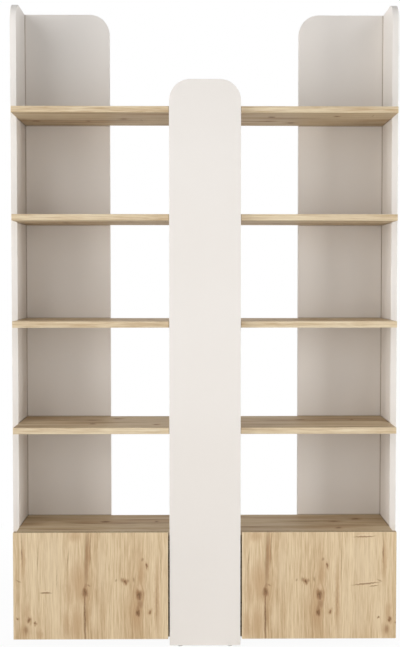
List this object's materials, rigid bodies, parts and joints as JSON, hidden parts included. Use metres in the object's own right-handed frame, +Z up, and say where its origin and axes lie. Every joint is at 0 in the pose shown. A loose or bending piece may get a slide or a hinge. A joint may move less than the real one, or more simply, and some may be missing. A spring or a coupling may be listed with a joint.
{
  "type": "bookcase with doors",
  "caption": "Free-standing bookcase with cream corner panels, a cream front plank, open oak shelves and a low oak cabinet closed by handle-less hinged doors.",
  "frame": {"origin": "on the floor, under the middle of the bookcase's bounding box", "axes": "+Z up, +X to the right seen from the front, +Y to the back; the doors face -Y"},
  "size_m": [1.13, 0.3, 1.853],
  "materials": {
    "cream_laminate": "matt cream melamine on board",
    "oak_laminate": "matt light knotty oak melamine on board",
    "hinge_steel": "nickel-plated steel",
    "white_plastic": "moulded plastic",
    "soft_pad": "soft translucent pad"
  },
  "bodies": {
    "bookcase": {"left_side_panel": "cream_laminate", "right_side_panel": "cream_laminate", "left_back_panel": "cream_laminate", "right_back_panel": "cream_laminate", "centre_front_panel": "cream_laminate", "shelf_1": "oak_laminate", "shelf_2": "oak_laminate", "shelf_3": "oak_laminate", "shelf_4": "oak_laminate", "cabinet_top": "oak_laminate", "cabinet_bottom": "oak_laminate", "cabinet_left_side": "oak_laminate", "cabinet_right_side": "oak_laminate", "cabinet_divider": "oak_laminate", "cabinet_back": "oak_laminate", "left_side_front_glide": "white_plastic", "left_side_rear_glide": "white_plastic", "right_side_front_glide": "white_plastic", "right_side_rear_glide": "white_plastic", "left_back_glide": "white_plastic", "right_back_glide": "white_plastic", "front_panel_left_glide": "white_plastic", "front_panel_right_glide": "white_plastic", "left_upper_hinge_arm": "hinge_steel", "left_lower_hinge_arm": "hinge_steel", "right_upper_hinge_arm": "hinge_steel", "right_lower_hinge_arm": "hinge_steel", "left_upper_hinge_plate": "hinge_steel", "left_lower_hinge_plate": "hinge_steel", "right_upper_hinge_plate": "hinge_steel", "right_lower_hinge_plate": "hinge_steel", "left_upper_hinge_screw": "hinge_steel", "left_lower_hinge_screw": "hinge_steel", "right_upper_hinge_screw": "hinge_steel", "right_lower_hinge_screw": "hinge_steel"},
    "left_door": {"left_door": "oak_laminate", "left_door_upper_bumper": "soft_pad", "left_door_lower_bumper": "soft_pad", "left_upper_hinge_cup": "hinge_steel", "left_upper_hinge_pin": "hinge_steel", "left_lower_hinge_cup": "hinge_steel", "left_lower_hinge_pin": "hinge_steel"},
    "right_door": {"right_door": "oak_laminate", "right_door_upper_bumper": "soft_pad", "right_door_lower_bumper": "soft_pad", "right_upper_hinge_cup": "hinge_steel", "right_upper_hinge_pin": "hinge_steel", "right_lower_hinge_cup": "hinge_steel", "right_lower_hinge_pin": "hinge_steel"}
  },
  "joints": [
    {"name": "left_door_swing", "type": "hinge", "parent": "bookcase", "child": "left_door", "pos_m": [-0.5375, -0.1425, 0.17575], "axis": [0, 0, -1], "range_deg": [0, 100]},
    {"name": "right_door_swing", "type": "hinge", "parent": "bookcase", "child": "right_door", "pos_m": [0.5375, -0.1425, 0.17575], "axis": [0, 0, 1], "range_deg": [0, 100]}
  ]
}
